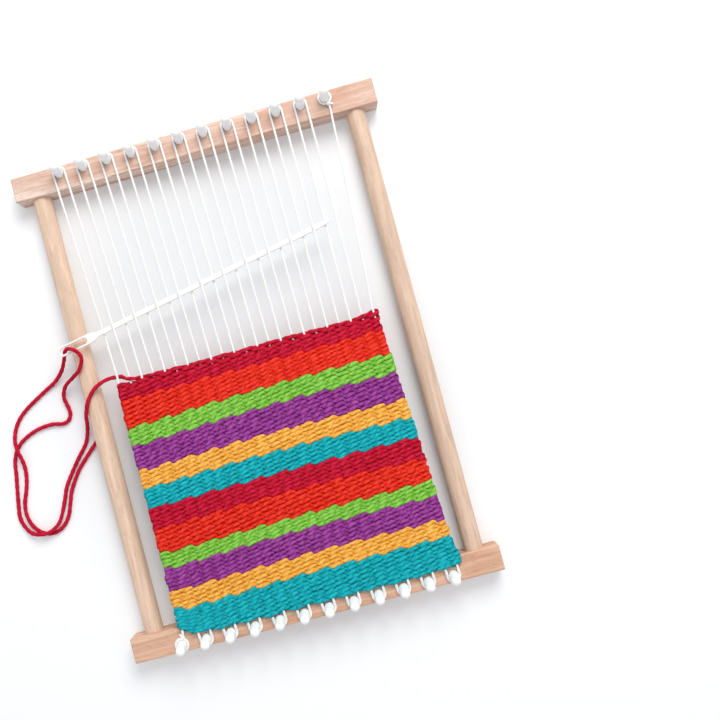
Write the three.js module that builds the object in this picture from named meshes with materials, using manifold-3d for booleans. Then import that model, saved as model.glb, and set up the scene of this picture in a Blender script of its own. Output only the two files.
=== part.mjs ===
// A small frame loom for children, lying on a table: two beech beams with twelve plastic pegs each,
// two dowels, a continuous cord warp, a half-finished striped cloth, and a needle with its yarn.
// Millimetres, +Z up. The origin is on the table under the middle of the frame.
// +Y runs from the lower beam, where the weaving began, to the upper beam.

import * as THREE from "three";
import { mergeVertices } from "three/addons/utils/BufferGeometryUtils.js";
import Module from "manifold-3d";

const wasm = await Module();
wasm.setup();

// Frame
const BEAM_LENGTH = 300;
const BEAM_WIDTH = 20;
const BEAM_THICK = 20;
const FRAME_HEIGHT = 400;
const BEAM_EDGE = 1.2;
const DOWEL_DIAMETER = 15;
const DOWEL_FROM_END = 18.6;
const DOWEL_SOCKET = 13;
const FIT_GAP = 0.3;

// Pegs
const PEG_COUNT = 12;
const PEG_PITCH = 20;
const PEG_DIAMETER = 7.5;
const PEG_SHOWN = 16;
const PEG_SUNK = 12;
const PEG_DOME = 3.2;
const PEG_TILT = THREE.MathUtils.degToRad(11.7);
const PEG_FROM_EDGE = 6.3;
const PEG_SIDES = 12;

// Warp
const WARP_DIAMETER = 1.9;
const WARP_SIDES = 6;
const WRAP_GAP = 0.15;
const WRAP_HEIGHT = 1.3;
const WRAP_STEPS = 8;
const TIE_LEAN = THREE.MathUtils.degToRad(20);
const TIE_OPEN = THREE.MathUtils.degToRad(24);
const KNOT_RADIUS = 1.7;
const FIRST_STRAND_LOW = -106.7;

// Cloth, top edge first. Its left and right are those of the first and last strand there.
// Every second strand lies over a pick and the others under it.
const CLOTH_FROM_EDGE = 12.1;
const CLOTH_THICK = 4.2;
const CLOTH_OVER_BEAM = 0.5;
const CLOTH_LEFT = -105.7;
const CLOTH_RIGHT = 103.3;
const CLOTH_SELVEDGE = 0.22;
const CLOTH_CORNER = 1.5;
const CLOTH_CORNER_RISE = 6.6;
const BAND_GAP = 0.3;
const BANDS = [
  ["crimson_upper", 15.4, 0xc4122f],
  ["orange_upper", 20.7, 0xee2e1b],
  ["green_upper", 15.4, 0x6dbe3b],
  ["purple_upper", 20.4, 0x8a2f8f],
  ["yellow_upper", 14.5, 0xf9a73e],
  ["teal_upper", 16.6, 0x12a3ad],
  ["crimson_lower", 16.8, 0xc4122f],
  ["orange_lower", 18.4, 0xee2e1b],
  ["green_lower", 13.0, 0x6dbe3b],
  ["purple_lower", 18.7, 0x8a2f8f],
  ["yellow_lower", 14.4, 0xf9a73e],
  ["teal_lower", 24.2, 0x12a3ad],
];

// Needle, measured from its eye end. It lies over the odd strands and under the even ones.
const NEEDLE_LENGTH = 240.5;
const NEEDLE_THICK = 2;
const NEEDLE_WIDTH = 4.1;
const NEEDLE_TIP = 14;
const EYE_WIDTH = 8.1;
const EYE_LENGTH = 28.5;
const EYE_SHOULDER = 9;
const EYE_SLOT_WIDTH = 5;
const EYE_SLOT_START = 2.4;
const EYE_SLOT_LENGTH = 23.6;
const EYE_LEFT = -147.2;
const EYE_ABOVE_CLOTH = 33;
const NEEDLE_ANGLE = THREE.MathUtils.degToRad(10.83);
const NEEDLE_SINK = 0.3;
const CROSSING_FLAT = 3.5;

// Weft yarn that is still on the needle
const YARN_DIAMETER = 3.5;
const YARN_SIDES = 8;
const YARN_STEPS = 78;
const TAIL_STEPS = 58;
const ROUTE_CLOTH_TOP = 20.6;

// Worked out from the sizes above
const DOWEL_RADIUS = DOWEL_DIAMETER / 2;
const DOWEL_Z = BEAM_THICK / 2;
const DOWEL_X = BEAM_LENGTH / 2 - DOWEL_FROM_END;
const BEAM_Y = (FRAME_HEIGHT - BEAM_WIDTH) / 2;
const INNER_EDGE = FRAME_HEIGHT / 2 - BEAM_WIDTH;
const DOWEL_LENGTH = 2 * (INNER_EDGE + DOWEL_SOCKET - FIT_GAP);
const PEG_RADIUS = PEG_DIAMETER / 2;
const PEG_Y = FRAME_HEIGHT / 2 - PEG_FROM_EDGE;
const WARP_RADIUS = WARP_DIAMETER / 2;
const WRAP_RADIUS = PEG_RADIUS + WRAP_GAP + WARP_RADIUS;
const WRAP_Z = BEAM_THICK + WRAP_HEIGHT;
const WRAP_Y = PEG_Y + WRAP_HEIGHT * Math.tan(PEG_TILT);
const CLOTH_Z = BEAM_THICK + CLOTH_OVER_BEAM + CLOTH_THICK / 2;
const NEEDLE_Z = CLOTH_Z - NEEDLE_SINK;
const STRAND_COUNT = 2 * PEG_COUNT - 1;
const NEEDLE_LIFT = NEEDLE_THICK / 2 + WARP_RADIUS + FIT_GAP;
const STRAND_PITCH = (CLOTH_RIGHT - CLOTH_LEFT) / (STRAND_COUNT - 1);
const TUNNEL_HALF = (WARP_RADIUS + FIT_GAP) / STRAND_PITCH;
const CLOTH_HEIGHT = BANDS.reduce((sum, band) => sum + band[1], 0);
const CLOTH_BOTTOM = CLOTH_FROM_EDGE - FRAME_HEIGHT / 2;
const CLOTH_TOP = CLOTH_BOTTOM + CLOTH_HEIGHT;
const EYE_END = new THREE.Vector2(EYE_LEFT, CLOTH_TOP + EYE_ABOVE_CLOTH);
const ROUTE_SHIFT = CLOTH_TOP - ROUTE_CLOTH_TOP;
const NEEDLE_WAY = new THREE.Vector2(Math.cos(NEEDLE_ANGLE), Math.sin(NEEDLE_ANGLE));

const loom = new THREE.Group();

function look(color, roughness) {
  return new THREE.MeshStandardMaterial({ color, roughness, metalness: 0 });
}

const BEECH = look(0xe3b797, 0.6);
const PALE_DOWEL = look(0xebc9aa, 0.6);
const WHITE_PLASTIC = look(0xf4f4f2, 0.35);
const IVORY_PLASTIC = look(0xf3ecd8, 0.4);
const WHITE_CORD = look(0xf2f0ea, 0.9);
const CRIMSON_YARN = look(0xc4122f, 0.9);

function place(name, geometry, material) {
  const mesh = new THREE.Mesh(geometry, material);
  mesh.name = name;
  loom.add(mesh);
  return mesh;
}

// Booleans

function solidOf(geometry, matrix) {
  const bare = geometry.clone();
  bare.deleteAttribute("normal");
  bare.deleteAttribute("uv");
  if (matrix) bare.applyMatrix4(matrix);
  const merged = mergeVertices(bare, 1e-5);
  return new wasm.Manifold(
    new wasm.Mesh({
      numProp: 3,
      vertProperties: new Float32Array(merged.attributes.position.array),
      triVerts: new Uint32Array(merged.index.array),
    }),
  );
}

function geometryOf(solid) {
  const mesh = solid.getMesh();
  const geometry = new THREE.BufferGeometry();
  geometry.setAttribute("position", new THREE.BufferAttribute(mesh.vertProperties, 3));
  geometry.setIndex(new THREE.BufferAttribute(mesh.triVerts, 1));
  geometry.computeVertexNormals();
  return geometry;
}

// Pegs and dowels

function pegProfile(radius, sunk, shown, dome) {
  const points = [new THREE.Vector2(0, -sunk), new THREE.Vector2(radius, -sunk)];
  if (dome === 0) {
    points.push(new THREE.Vector2(radius, shown));
  }
  for (let step = 0; step < 4 && dome > 0; step += 1) {
    const angle = (step / 4) * (Math.PI / 2);
    points.push(new THREE.Vector2(radius * Math.cos(angle), shown - dome + dome * Math.sin(angle)));
  }
  points.push(new THREE.Vector2(0, shown));
  return points;
}

function pegGeometry(radius, sunk, shown, dome) {
  const geometry = new THREE.LatheGeometry(pegProfile(radius, sunk, shown, dome), PEG_SIDES);
  return geometry.rotateX(Math.PI / 2);
}

function pegX(index) {
  return (index - (PEG_COUNT - 1) / 2) * PEG_PITCH;
}

function pegMatrix(index, side) {
  const turn = new THREE.Matrix4().makeRotationX(-side * PEG_TILT);
  return turn.setPosition(pegX(index), side * PEG_Y, BEAM_THICK);
}

function dowelGeometry(radius, length) {
  return new THREE.CylinderGeometry(radius, radius, length, 20);
}

// Beams

function roundedRectangle(width, height, radius) {
  const x = width / 2 - radius;
  const y = height / 2 - radius;
  const shape = new THREE.Shape();
  shape.absarc(x, y, radius, 0, Math.PI / 2);
  shape.absarc(-x, y, radius, Math.PI / 2, Math.PI);
  shape.absarc(-x, -y, radius, Math.PI, 1.5 * Math.PI);
  shape.absarc(x, -y, radius, 1.5 * Math.PI, 2 * Math.PI);
  return shape;
}

function beamGeometry(side) {
  const end = BEAM_EDGE / 2;
  const section = roundedRectangle(BEAM_THICK - 2 * end, BEAM_WIDTH - 2 * end, BEAM_EDGE - end);
  const bar = new THREE.ExtrudeGeometry(section, {
    depth: BEAM_LENGTH - 2 * end,
    curveSegments: 3,
    bevelSize: end,
    bevelThickness: end,
    bevelSegments: 1,
  });
  bar.translate(0, 0, -BEAM_LENGTH / 2 + end);
  bar.rotateY(Math.PI / 2);
  let solid = solidOf(bar, new THREE.Matrix4().makeTranslation(0, side * BEAM_Y, BEAM_THICK / 2));
  const hole = pegGeometry(PEG_RADIUS + FIT_GAP, PEG_SUNK + FIT_GAP, PEG_DIAMETER, 0);
  for (let index = 0; index < PEG_COUNT; index += 1) {
    solid = solid.subtract(solidOf(hole, pegMatrix(index, side)));
  }
  const socket = dowelGeometry(DOWEL_RADIUS + FIT_GAP, 2 * DOWEL_SOCKET);
  for (const x of [-DOWEL_X, DOWEL_X]) {
    const seat = new THREE.Matrix4().makeTranslation(x, side * INNER_EDGE, DOWEL_Z);
    solid = solid.subtract(solidOf(socket, seat));
  }
  return geometryOf(solid);
}

// Tubes through points, with flat ends

function tubeGeometry(points, radius, sides) {
  const positions = [];
  const index = [];
  const tangents = points.map((point, i) => {
    const before = points[Math.max(i - 1, 0)];
    const after = points[Math.min(i + 1, points.length - 1)];
    const back = point.clone().sub(before).normalize();
    return after.clone().sub(point).normalize().add(back).normalize();
  });
  const across = new THREE.Vector3(0, 0, 1).cross(tangents[0]).normalize();
  points.forEach((point, i) => {
    const tangent = tangents[i];
    across.addScaledVector(tangent, -across.dot(tangent)).normalize();
    const over = tangent.clone().cross(across);
    for (let side = 0; side < sides; side += 1) {
      const angle = (2 * Math.PI * (side + 0.5)) / sides;
      const spot = point.clone();
      spot.addScaledVector(across, radius * Math.cos(angle));
      spot.addScaledVector(over, radius * Math.sin(angle));
      positions.push(spot.x, spot.y, spot.z);
    }
  });
  for (let ring = 0; ring + 1 < points.length; ring += 1) {
    for (let side = 0; side < sides; side += 1) {
      const a = ring * sides + side;
      const b = ring * sides + ((side + 1) % sides);
      index.push(a, b, b + sides, a, b + sides, a + sides);
    }
  }
  const last = (points.length - 1) * sides;
  for (let side = 1; side + 1 < sides; side += 1) {
    index.push(0, side + 1, side);
    index.push(last, last + side, last + side + 1);
  }
  const geometry = new THREE.BufferGeometry();
  geometry.setAttribute("position", new THREE.Float32BufferAttribute(positions, 3));
  geometry.setIndex(index);
  geometry.computeVertexNormals();
  return geometry;
}

// Warp: strand 1 is the left one. Odd strands run up to the left side of a top peg.

function strandTop(strand) {
  if (strand === STRAND_COUNT) return tieWrap(PEG_COUNT - 1, 1)[0];
  const peg = Math.floor((strand - 1) / 2);
  return wrapPoint(peg, 1, strand % 2 === 1 ? Math.PI : 0);
}

function strandBottom(strand) {
  if (strand === 1) return FIRST_STRAND_LOW;
  const peg = Math.floor(strand / 2);
  return pegX(peg) + (strand % 2 === 1 ? 1 : -1) * WRAP_RADIUS;
}

function strandAtClothTop(strand) {
  return CLOTH_LEFT + (strand - 1) * STRAND_PITCH;
}

function strandX(strand, y) {
  const share = (CLOTH_TOP - y) / (CLOTH_TOP + WRAP_Y);
  return THREE.MathUtils.lerp(strandAtClothTop(strand), strandBottom(strand), share);
}

// Each loop lies level round its leaning peg.

function wrapPoint(peg, side, angle) {
  const x = pegX(peg) + WRAP_RADIUS * Math.cos(angle);
  const y = side * WRAP_Y + (WRAP_RADIUS / Math.cos(PEG_TILT)) * Math.sin(angle);
  return new THREE.Vector3(x, y, WRAP_Z);
}

function halfWrap(peg, side) {
  const points = [];
  for (let step = 0; step <= WRAP_STEPS; step += 1) {
    points.push(wrapPoint(peg, side, side * Math.PI * (1 - step / WRAP_STEPS)));
  }
  return points;
}

// The cord's two ends are tied round a peg, each with its knot toward the cloth.

function knotAngle(side) {
  return -side * (Math.PI / 2 - TIE_LEAN);
}

function tieWrap(peg, side) {
  const points = [];
  const steps = 2 * WRAP_STEPS;
  for (let step = 0; step <= steps; step += 1) {
    const turned = TIE_OPEN / 2 + (step / steps) * (2 * Math.PI - TIE_OPEN);
    points.push(wrapPoint(peg, side, knotAngle(side) + turned));
  }
  return points;
}

function needleCrossing(strand) {
  const low = new THREE.Vector2(strandAtClothTop(strand), CLOTH_TOP);
  const top = strandTop(strand);
  const high = new THREE.Vector2(top.x, top.y);
  const run = high.clone().sub(low);
  const apart = EYE_END.clone().sub(low);
  const turn = run.x * NEEDLE_WAY.y - run.y * NEEDLE_WAY.x;
  const along = (apart.x * NEEDLE_WAY.y - apart.y * NEEDLE_WAY.x) / turn;
  const point = low.clone().addScaledVector(run, along);
  const reach = point.clone().sub(EYE_END).dot(NEEDLE_WAY);
  const met = reach < NEEDLE_LENGTH;
  return { point, met, way: run.normalize() };
}

function strandPoints(strand) {
  const low = CLOTH_BOTTOM - FIT_GAP + (strand === 1 ? CLOTH_CORNER_RISE : 0);
  const points = [
    new THREE.Vector3(strandX(strand, low), low, CLOTH_Z),
    new THREE.Vector3(strandAtClothTop(strand), CLOTH_TOP, CLOTH_Z),
  ];
  const crossing = needleCrossing(strand);
  const lift = strand % 2 === 1 ? -NEEDLE_LIFT : NEEDLE_LIFT;
  for (const shift of [-CROSSING_FLAT, CROSSING_FLAT]) {
    const spot = crossing.point.clone().addScaledVector(crossing.way, shift);
    if (crossing.met) points.push(new THREE.Vector3(spot.x, spot.y, NEEDLE_Z + lift));
  }
  return points;
}

function warpPoints() {
  const points = [];
  for (let strand = 1; strand <= STRAND_COUNT; strand += 1) {
    const upward = strand % 2 === 1;
    const run = strandPoints(strand);
    points.push(...(upward ? run : run.reverse()));
    const peg = upward ? (strand - 1) / 2 : strand / 2;
    if (strand < STRAND_COUNT) points.push(...halfWrap(peg, upward ? 1 : -1));
  }
  return points;
}

function knotAt(peg, side) {
  const reach = PEG_RADIUS + FIT_GAP + KNOT_RADIUS;
  const angle = knotAngle(side);
  const ball = new THREE.SphereGeometry(KNOT_RADIUS, 8, 6);
  const spot = new THREE.Matrix4().makeTranslation(
    pegX(peg) + reach * Math.cos(angle),
    side * WRAP_Y + reach * Math.sin(angle),
    BEAM_THICK + FIT_GAP + KNOT_RADIUS,
  );
  return solidOf(ball, spot);
}

function leastSelfGap(points, diameter) {
  const curve = new THREE.CatmullRomCurve3(points, false, "centripetal");
  curve.arcLengthDivisions = 40 * points.length;
  const spots = curve.getSpacedPoints(Math.round(curve.getLength()));
  let least = Infinity;
  const apart = Math.ceil(4 * diameter);
  for (let a = 0; a < spots.length; a += 1) {
    for (let b = a + apart; b < spots.length; b += 1) {
      least = Math.min(least, spots[a].distanceTo(spots[b]));
    }
  }
  return least - diameter;
}

function warpGeometry() {
  const strands = warpPoints();
  const least = leastSelfGap(strands, WARP_DIAMETER);
  console.log("least gap of the warp cord to itself, mm:", least.toFixed(2));
  const points = [...tieWrap(0, -1), ...strands, ...tieWrap(PEG_COUNT - 1, 1)];
  let solid = solidOf(tubeGeometry(points, WARP_RADIUS, WARP_SIDES));
  solid = solid.add(knotAt(0, -1));
  solid = solid.add(knotAt(PEG_COUNT - 1, 1));
  return geometryOf(solid);
}

// Cloth bands: slabs whose tunnels follow the strands. Places along X are counted in strands and
// then carried to where the strands are. Each band has a far end, nearer the upper beam, and a near end.

function strandSpace(place, y) {
  const strand = THREE.MathUtils.clamp(Math.floor(place), 1, STRAND_COUNT - 1);
  const here = strandX(strand, y);
  return here + (place - strand) * (strandX(strand + 1, y) - here);
}

function bandGeometry(top, height, cornerRise) {
  const positions = [];
  const index = [];
  const outerPlaces = [1 - CLOTH_SELVEDGE, CLOTH_CORNER, STRAND_COUNT + CLOTH_SELVEDGE];
  const holePlaces = [];
  for (let strand = 1; strand <= STRAND_COUNT; strand += 1) {
    holePlaces.push(strand - TUNNEL_HALF, strand + TUNNEL_HALF);
  }
  function row(places, z, isNear) {
    return places.map((place) => {
      const rise = place < CLOTH_CORNER ? cornerRise : 0;
      const y = isNear ? top - height + rise : top;
      positions.push(strandSpace(place, y), y, CLOTH_Z + z);
      return positions.length / 3 - 1;
    });
  }
  const tall = WARP_RADIUS + FIT_GAP;
  const ends = [true, false].map((isNear) => ({
    under: row(outerPlaces, -CLOTH_THICK / 2, isNear),
    low: row(holePlaces, -tall, isNear),
    high: row(holePlaces, tall, isNear),
    over: row(outerPlaces, CLOTH_THICK / 2, isNear),
  }));
  const middle = STRAND_COUNT;
  for (const [end, isNear] of [[ends[0], true], [ends[1], false]]) {
    const face = (a, b, c) => index.push(...(isNear ? [a, b, c] : [a, c, b]));
    const { under, low, high, over } = end;
    for (let i = 0; i + 1 < low.length; i += 1) {
      const corner = i === 0 ? 0 : i < middle ? 1 : 2;
      face(high[i], high[i + 1], over[corner]);
      face(low[i + 1], low[i], under[corner]);
      if (i % 2 === 1) {
        face(low[i], low[i + 1], high[i + 1]);
        face(low[i], high[i + 1], high[i]);
      }
    }
    for (const [corner, i] of [[0, 1], [1, middle]]) {
      face(high[i], over[corner + 1], over[corner]);
      face(under[corner], under[corner + 1], low[i]);
    }
    const last = low.length - 1;
    face(under[0], low[0], high[0]);
    face(under[0], high[0], over[0]);
    face(low[last], under[2], over[2]);
    face(low[last], over[2], high[last]);
  }
  const loops = ends.map(({ under, low, high, over }) => {
    const rings = [[...under, ...[...over].reverse()]];
    for (let i = 0; i < low.length; i += 2) {
      rings.push([high[i], high[i + 1], low[i + 1], low[i]]);
    }
    return rings;
  });
  loops[0].forEach((near, ring) => {
    const far = loops[1][ring];
    near.forEach((a, i) => {
      const next = (i + 1) % near.length;
      index.push(a, far[i], far[next], a, far[next], near[next]);
    });
  });
  const geometry = new THREE.BufferGeometry();
  geometry.setAttribute("position", new THREE.Float32BufferAttribute(positions, 3));
  geometry.setIndex(index);
  geometry.computeVertexNormals();
  return geometry;
}

// Needle

function needleGeometry() {
  const shape = new THREE.Shape();
  const eye = EYE_WIDTH / 2;
  const shaft = NEEDLE_WIDTH / 2;
  const tip = NEEDLE_LENGTH - NEEDLE_TIP;
  const shoulder = EYE_LENGTH + EYE_SHOULDER;
  shape.absarc(eye, 0, eye, Math.PI / 2, 1.5 * Math.PI);
  shape.lineTo(EYE_LENGTH, -eye);
  shape.bezierCurveTo(EYE_LENGTH + 4, -eye, shoulder - 4, -shaft, shoulder, -shaft);
  shape.lineTo(tip, -shaft);
  shape.quadraticCurveTo(NEEDLE_LENGTH, -shaft, NEEDLE_LENGTH, 0);
  shape.quadraticCurveTo(NEEDLE_LENGTH, shaft, tip, shaft);
  shape.lineTo(shoulder, shaft);
  shape.bezierCurveTo(shoulder - 4, shaft, EYE_LENGTH + 4, eye, EYE_LENGTH, eye);
  shape.closePath();
  const slot = new THREE.Path();
  const half = EYE_SLOT_WIDTH / 2;
  const slotEnd = EYE_SLOT_START + EYE_SLOT_LENGTH;
  slot.absarc(EYE_SLOT_START + half, 0, half, 1.5 * Math.PI, Math.PI / 2, true);
  slot.absarc(slotEnd - half, 0, half, Math.PI / 2, -Math.PI / 2, true);
  slot.closePath();
  shape.holes.push(slot);
  const geometry = new THREE.ExtrudeGeometry(shape, {
    depth: NEEDLE_THICK,
    curveSegments: 7,
    bevelEnabled: false,
  });
  geometry.translate(0, 0, -NEEDLE_THICK / 2);
  return geometryOf(solidOf(geometry));
}

// Yarn routes, chosen by hand: from the cloth's corner over the dowel, round on the table and up
// into the eye, and from the eye back down, beside the first part, to an end under the dowel.

const YARN_ROUTE = [
  [-101.7, 23.1, 19.6],
  [-113.5, 24.1, 19.8],
  [-123.8, 21.1, 19.8],
  [-129.7, 16.7, 19.7],
  [-134.7, 10.5, 19.1],
  [-138.2, 4.1, 16.9],
  [-140.7, 1.2, 13.2],
  [-141.7, -1.4, 9.0],
  [-144.9, -10.6, 3.8],
  [-149.7, -20.4, 1.9],
  [-160.2, -32.5, 1.8],
  [-174.0, -50.9, 1.8],
  [-178.3, -60.8, 1.8],
  [-185.9, -76.4, 4.2],
  [-190.9, -80.8, 5.6],
  [-197.4, -83.0, 5.9],
  [-204.7, -82.4, 5.6],
  [-211.0, -79.7, 3.6],
  [-215.6, -73.9, 1.8],
  [-217.8, -65.8, 1.8],
  [-216.7, -55.7, 1.8],
  [-212.3, -31.8, 1.8],
  [-209.7, -18.0, 1.8],
  [-202.8, -7.5, 1.8],
  [-187.4, 0.2, 1.8],
  [-172.3, 1.7, 1.8],
  [-164.0, 0.0, 1.8],
  [-159.5, 1.0, 1.8],
  [-156.5, 4.4, 1.8],
  [-155.8, 8.8, 1.8],
  [-156.8, 14.6, 1.8],
  [-157.2, 20.9, 3.2],
  [-152.7, 28.3, 7.2],
  [-142.8, 33.3, 13.8],
  [-134.8, 37.4, 19.3],
  [-129.6, 45.6, 23.0],
  [-131.2, 51.0, 25.0],
  [-135.0, 54.2, 25.6],
  [-137.9, 55.2, 24.7],
  [-140.0, 55.4, 23.3],
];

const TAIL_ROUTE = [
  [-140.8, 54.9, 21.8],
  [-141.8, 54.4, 20.2],
  [-143.4, 52.7, 17.8],
  [-146.7, 48.2, 13.0],
  [-152.6, 41.2, 7.4],
  [-161.1, 34.7, 3.4],
  [-171.7, 29.5, 1.8],
  [-180.7, 24.6, 1.8],
  [-189.8, 19.3, 1.8],
  [-197.2, 13.4, 1.8],
  [-202.4, 6.3, 2.2],
  [-204.8, -1.0, 3.9],
  [-205.0, -6.7, 5.6],
  [-204.5, -13.0, 5.7],
  [-203.6, -19.8, 3.9],
  [-203.5, -27.8, 2.1],
  [-204.8, -36.8, 1.8],
  [-207.7, -46.2, 1.8],
  [-210.9, -54.6, 1.8],
  [-212.0, -63.6, 1.8],
  [-210.1, -72.6, 1.8],
  [-205.4, -79.6, 1.8],
  [-198.8, -83.7, 1.8],
  [-191.2, -84.1, 1.8],
  [-184.3, -80.8, 1.8],
  [-178.6, -74.1, 1.8],
  [-174.7, -64.9, 1.8],
  [-171.1, -55.5, 1.8],
  [-165.4, -46.4, 1.8],
  [-159.6, -38.8, 1.8],
  [-152.7, -32.1, 1.8],
  [-145.6, -25.6, 1.8],
  [-138.3, -19.4, 1.8],
  [-136.7, -18.2, 1.8],
];

function yarnGeometry(route, steps) {
  const curve = new THREE.CatmullRomCurve3(
    route.map((point) => new THREE.Vector3(...point)),
    false,
    "centripetal",
  );
  return tubeGeometry(curve.getSpacedPoints(steps), YARN_DIAMETER / 2, YARN_SIDES);
}

// The loom

place("top_beam", beamGeometry(1), BEECH);
place("bottom_beam", beamGeometry(-1), BEECH);
for (const [name, x] of [["left_dowel", -DOWEL_X], ["right_dowel", DOWEL_X]]) {
  const dowel = place(name, dowelGeometry(DOWEL_RADIUS, DOWEL_LENGTH), PALE_DOWEL);
  dowel.position.set(x, 0, DOWEL_Z);
}

for (const [row, side] of [["top", 1], ["bottom", -1]]) {
  for (let index = 0; index < PEG_COUNT; index += 1) {
    const number = String(index + 1).padStart(2, "0");
    const geometry = pegGeometry(PEG_RADIUS, PEG_SUNK, PEG_SHOWN, PEG_DOME);
    const peg = place(`${row}_peg_${number}`, geometry, WHITE_PLASTIC);
    peg.applyMatrix4(pegMatrix(index, side));
  }
}

place("warp_cord", warpGeometry(), WHITE_CORD);

let bandTop = CLOTH_TOP;
BANDS.forEach(([name, height, color], i) => {
  const rise = i === BANDS.length - 1 ? CLOTH_CORNER_RISE : 0;
  place(`weft_${name}`, bandGeometry(bandTop, height - BAND_GAP, rise), look(color, 0.9));
  bandTop -= height;
});

const needle = place("needle", needleGeometry(), IVORY_PLASTIC);
needle.position.set(EYE_END.x, EYE_END.y, NEEDLE_Z);
needle.rotation.z = NEEDLE_ANGLE;

const drawnYarn = place("needle_yarn", yarnGeometry(YARN_ROUTE, YARN_STEPS), CRIMSON_YARN);
drawnYarn.position.y = ROUTE_SHIFT;
const looseYarn = place("yarn_tail", yarnGeometry(TAIL_ROUTE, TAIL_STEPS), CRIMSON_YARN);
looseYarn.position.y = ROUTE_SHIFT;

export default loom;
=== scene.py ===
"""Looks of the peg loom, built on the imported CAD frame. Metres, +Z up, the loom lies on the table."""

import math
import random

import bpy
import numpy as np
from mathutils import Matrix, Vector


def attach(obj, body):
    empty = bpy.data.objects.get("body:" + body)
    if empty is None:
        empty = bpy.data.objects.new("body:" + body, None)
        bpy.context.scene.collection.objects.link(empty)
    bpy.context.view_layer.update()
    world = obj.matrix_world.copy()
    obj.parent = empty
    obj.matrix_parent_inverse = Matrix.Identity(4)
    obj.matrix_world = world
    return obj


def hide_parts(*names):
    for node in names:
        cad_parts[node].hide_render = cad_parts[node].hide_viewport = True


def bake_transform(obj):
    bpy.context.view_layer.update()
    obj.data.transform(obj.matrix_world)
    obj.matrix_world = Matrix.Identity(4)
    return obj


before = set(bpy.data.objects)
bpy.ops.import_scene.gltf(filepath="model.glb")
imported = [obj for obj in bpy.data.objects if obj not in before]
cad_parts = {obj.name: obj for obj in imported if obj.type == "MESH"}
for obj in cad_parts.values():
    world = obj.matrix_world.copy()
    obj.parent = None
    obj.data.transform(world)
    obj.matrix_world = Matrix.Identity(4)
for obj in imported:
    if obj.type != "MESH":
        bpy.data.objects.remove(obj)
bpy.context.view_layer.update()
MM = 0.001

# Sizes that the CAD part has too, in millimetres
BEAM_THICK = 20.0
PEG_COUNT = 12
PEG_PITCH = 20.0
PEG_RADIUS = 3.75
PEG_SHOWN = 16.0
PEG_SUNK = 12.0
PEG_TILT = math.radians(11.7)
PEG_Y = 193.7
DOWEL_X = 131.4
DOWEL_Z = 10.0
DOWEL_RADIUS = 7.5
DOWEL_END = 192.7
WARP_RADIUS = 0.95
WRAP_RADIUS = 4.85
WRAP_Z = 21.3
WRAP_Y = PEG_Y + (WRAP_Z - BEAM_THICK) * math.tan(PEG_TILT)
TIE_LEAN = math.radians(20)
TIE_OPEN = math.radians(24)
KNOT_REACH = 5.75
FIRST_STRAND_LOW = -106.7
STRANDS = 23
CLOTH_TOP = 20.6
CLOTH_BOTTOM = -187.9
CLOTH_LEFT = -105.7
CLOTH_RIGHT = 103.3
CLOTH_Z = 22.6
CORNER_RISE = 6.6
NEEDLE_Z = 22.3
NEEDLE_LENGTH = 240.5
NEEDLE_THICK = 2.0
NEEDLE_LIFT = 2.25
EYE_END = np.array([-147.2, 53.6])
NEEDLE_ANGLE = math.radians(10.83)
NEEDLE_WAY = np.array([math.cos(NEEDLE_ANGLE), math.sin(NEEDLE_ANGLE)])
YARN_DIAMETER = 3.5

# Camera of the photograph
VIEW_PLACE = (62.914, -36.855, 712.519)
VIEW_TURN = (-0.02135, -0.04582, 0.26180)
VIEW_LENS = 44.0
VIEW_SHIFT = (0.08297, 0.03094)
VIEW_CLIP = (0.05, 20)

# Light and floor, in metres
SKY_COLOUR = (0.93, 0.96, 1.0, 1)
SKY_STRENGTH = 0.72
KEY_PLACE = (0.5, 1.05, 1.2)
KEY_SIZE = 1.1
KEY_POWER = 21
KEY_COLOUR = (1.0, 0.985, 0.96)
FLOOR_HALF = 6.0
FLOOR_COLOUR = (0.82, 0.825, 0.835, 1)
FLOOR_ROUGHNESS = 0.9
# The floor glows white to the camera outside an oval of these half-widths, across and along.
# The glow comes in between two shares of them.
WHITE_FROM = (0.23, 0.28)
WHITE_STARTS = 0.5
WHITE_IS_FULL = 0.95
WHITE_GLOW = 0.14

# Colours, as written for a screen
COLOURS = {
    "crimson": "bf0e2c",
    "orange": "e32a1a",
    "green": "7cbf41",
    "purple": "92368c",
    "yellow": "f3ad45",
    "teal": "0ea6b0",
}
WARP_COLOUR = "fbfaf7"
PEG_COLOUR = "ffffff"
NEEDLE_COLOUR = "f2f1ec"
# Light and dark tone of each beam, X and light tone of each dowel, and a place in the grain
BEAM_WOODS = {"top_beam": ("e8d0c2", "cc9f88", 0.0), "bottom_beam": ("e9c6ab", "cd987b", 5.0)}
# The right dowel's light tone is darker than the left one's, as painted shade from a yarn hank beside it that isn't
# built
DOWEL_WOODS = {"left_dowel": (-DOWEL_X, "efceb4", 3.0), "right_dowel": (DOWEL_X, "e0c0a8", 7.0)}
DOWEL_DARK = 0.78

# Height and rows of yarn of each stripe, top edge first
STRIPES = [
    ("crimson_upper", 15.4, 8),
    ("orange_upper", 20.7, 12),
    ("green_upper", 15.4, 9),
    ("purple_upper", 20.4, 12),
    ("yellow_upper", 14.5, 9),
    ("teal_upper", 16.6, 10),
    ("crimson_lower", 16.8, 10),
    ("orange_lower", 18.4, 11),
    ("green_lower", 13.0, 8),
    ("purple_lower", 18.7, 11),
    ("yellow_lower", 14.4, 9),
    ("teal_lower", 24.2, 14),
]
ROWS = sum(rows for _, _, rows in STRIPES)

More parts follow.
